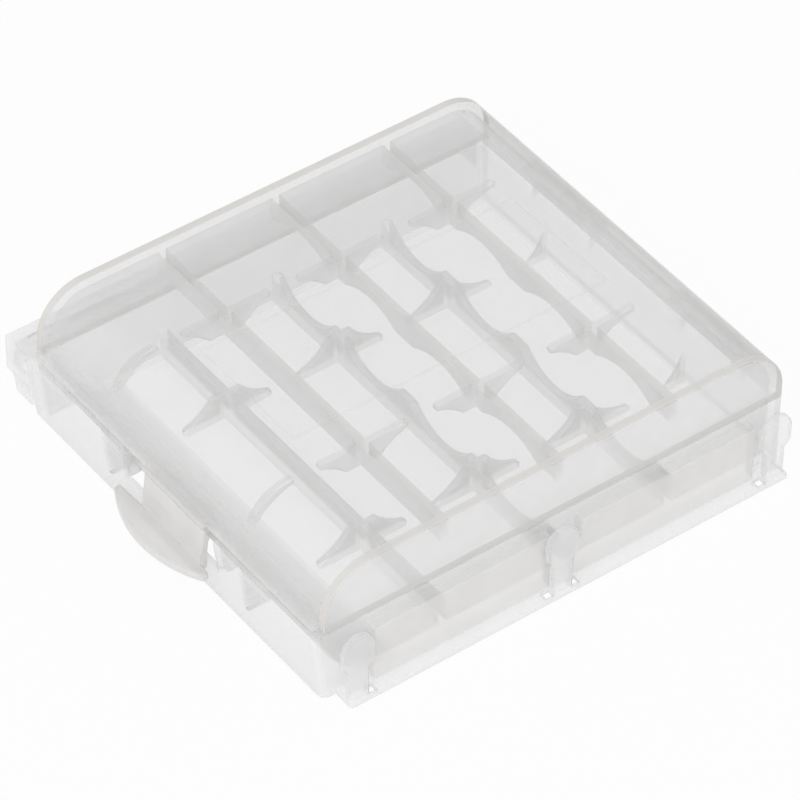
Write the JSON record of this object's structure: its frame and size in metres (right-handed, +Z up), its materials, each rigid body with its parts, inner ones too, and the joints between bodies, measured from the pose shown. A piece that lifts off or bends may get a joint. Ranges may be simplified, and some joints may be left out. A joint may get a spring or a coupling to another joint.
{
  "type": "hinged battery storage case",
  "caption": "Low rectangular case in frosted clear plastic with a domed hinged lid, thumb latch, ribbed cell channels and side rail and hook for joining cases.",
  "frame": {"origin": "centre of the closed case's box, at its underside", "axes": "+Z up, +Y along the cell channels towards the joining hook, +X towards the hinge"},
  "size_m": [0.071, 0.0628, 0.0182],
  "materials": {
    "base_frosted_plastic": "frosted natural polypropylene, translucent, with a soft sheen",
    "lid_frosted_plastic": "frosted natural polypropylene, translucent, with a soft sheen",
    "latch_frosted_plastic": "frosted natural polypropylene, translucent, with a soft sheen"
  },
  "bodies": {
    "base": {"base_floor": "base_frosted_plastic", "base_gusset_back": "base_frosted_plastic", "base_gusset_front": "base_frosted_plastic", "base_keeper": "base_frosted_plastic", "base_ledge_back": "base_frosted_plastic", "base_ledge_front": "base_frosted_plastic", "base_rib_1": "base_frosted_plastic", "base_rib_2": "base_frosted_plastic", "base_rib_3": "base_frosted_plastic", "base_skirt_back": "base_frosted_plastic", "base_skirt_front": "base_frosted_plastic", "base_skirt_sill": "base_frosted_plastic", "base_wall_back": "base_frosted_plastic", "base_wall_front": "base_frosted_plastic", "base_wall_left": "base_frosted_plastic", "base_wall_right": "base_frosted_plastic", "base_web_back": "base_frosted_plastic", "base_web_front": "base_frosted_plastic", "base_web_notch_back": "base_frosted_plastic", "base_web_notch_front": "base_frosted_plastic", "hinge_bar_back": "base_frosted_plastic", "hinge_bar_front": "base_frosted_plastic", "hinge_lug_back_1": "base_frosted_plastic", "hinge_lug_back_2": "base_frosted_plastic", "hinge_lug_front_1": "base_frosted_plastic", "hinge_lug_front_2": "base_frosted_plastic", "hook_end_left": "base_frosted_plastic", "hook_end_right": "base_frosted_plastic", "hook_guide": "base_frosted_plastic", "hook_lip": "base_frosted_plastic", "hook_shelf": "base_frosted_plastic", "rail_ear_left": "base_frosted_plastic", "rail_ear_middle": "base_frosted_plastic", "rail_ear_right": "base_frosted_plastic", "rail_pad_left": "base_frosted_plastic", "rail_pad_right": "base_frosted_plastic", "rail_shelf": "base_frosted_plastic"},
    "lid": {"lid_blade_back": "lid_frosted_plastic", "lid_blade_front": "lid_frosted_plastic", "lid_clip_back": "lid_frosted_plastic", "lid_clip_front": "lid_frosted_plastic", "lid_flange": "lid_frosted_plastic", "lid_latch_root": "lid_frosted_plastic", "lid_rib_1": "lid_frosted_plastic", "lid_rib_2": "lid_frosted_plastic", "lid_rib_3": "lid_frosted_plastic", "lid_side_left": "lid_frosted_plastic", "lid_side_right": "lid_frosted_plastic", "lid_top": "lid_frosted_plastic", "lid_wall_back": "lid_frosted_plastic", "lid_wall_front": "lid_frosted_plastic"},
    "latch": {"latch_tab": "latch_frosted_plastic", "latch_tongue": "latch_frosted_plastic"}
  },
  "joints": [
    {"name": "lid_hinge", "type": "hinge", "parent": "base", "child": "lid", "pos_m": [0.03433, -0.00065, 0.0091], "axis": [0, 1, 0], "range_deg": [0, 180]},
    {"name": "latch_flex", "type": "hinge", "parent": "lid", "child": "latch", "pos_m": [-0.03138, -0.0019, 0.01], "axis": [0, 1, 0], "range_deg": [0, 12], "stiffness_Nm_per_rad": 0.05}
  ]
}
